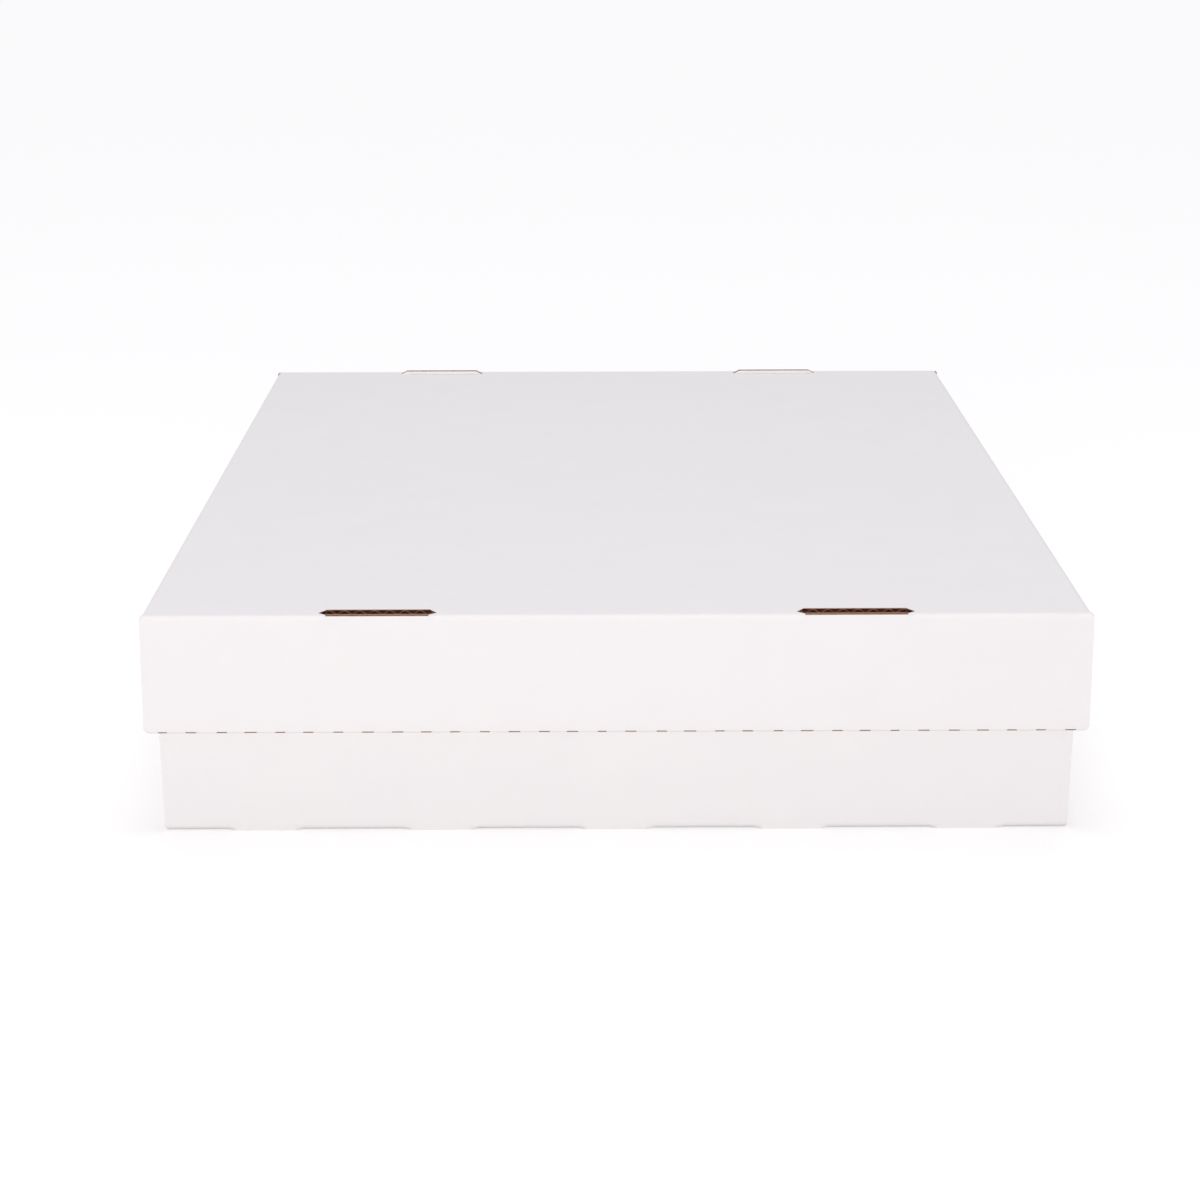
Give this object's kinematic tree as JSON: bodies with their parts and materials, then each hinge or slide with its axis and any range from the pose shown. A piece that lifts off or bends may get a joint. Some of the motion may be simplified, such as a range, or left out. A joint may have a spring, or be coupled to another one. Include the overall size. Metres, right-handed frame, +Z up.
{
  "type": "trading card storage box",
  "caption": "Flat corrugated board storage box in white, with a telescoping lift-off lid over a base tray parted into rows for upright cards.",
  "frame": {"origin": "centre of the box's footprint, on the surface it stands on", "axes": "+Z up; the front, with the sunk lock tabs, faces -Y; +X to the right seen from the front; card rows run along Y"},
  "size_m": [0.4096, 0.4762, 0.1053],
  "materials": {
    "base_board": "matte white outer liner, kraft brown inner liner and flutes",
    "lid_board": "matte white outer liner, kraft brown inner liner and flutes",
    "divider_board": "matte white outer liner, kraft brown inner liner and flutes"
  },
  "bodies": {
    "base": {"box_base": "base_board", "row_divider_1": "divider_board", "row_divider_2": "divider_board", "row_divider_3": "divider_board", "row_divider_4": "divider_board"},
    "lid": {"box_lid": "lid_board"}
  },
  "joints": [
    {"name": "lid_lift", "type": "slide", "parent": "base", "child": "lid", "axis": [0, 0, 1], "range_m": [0, 0.15]}
  ]
}
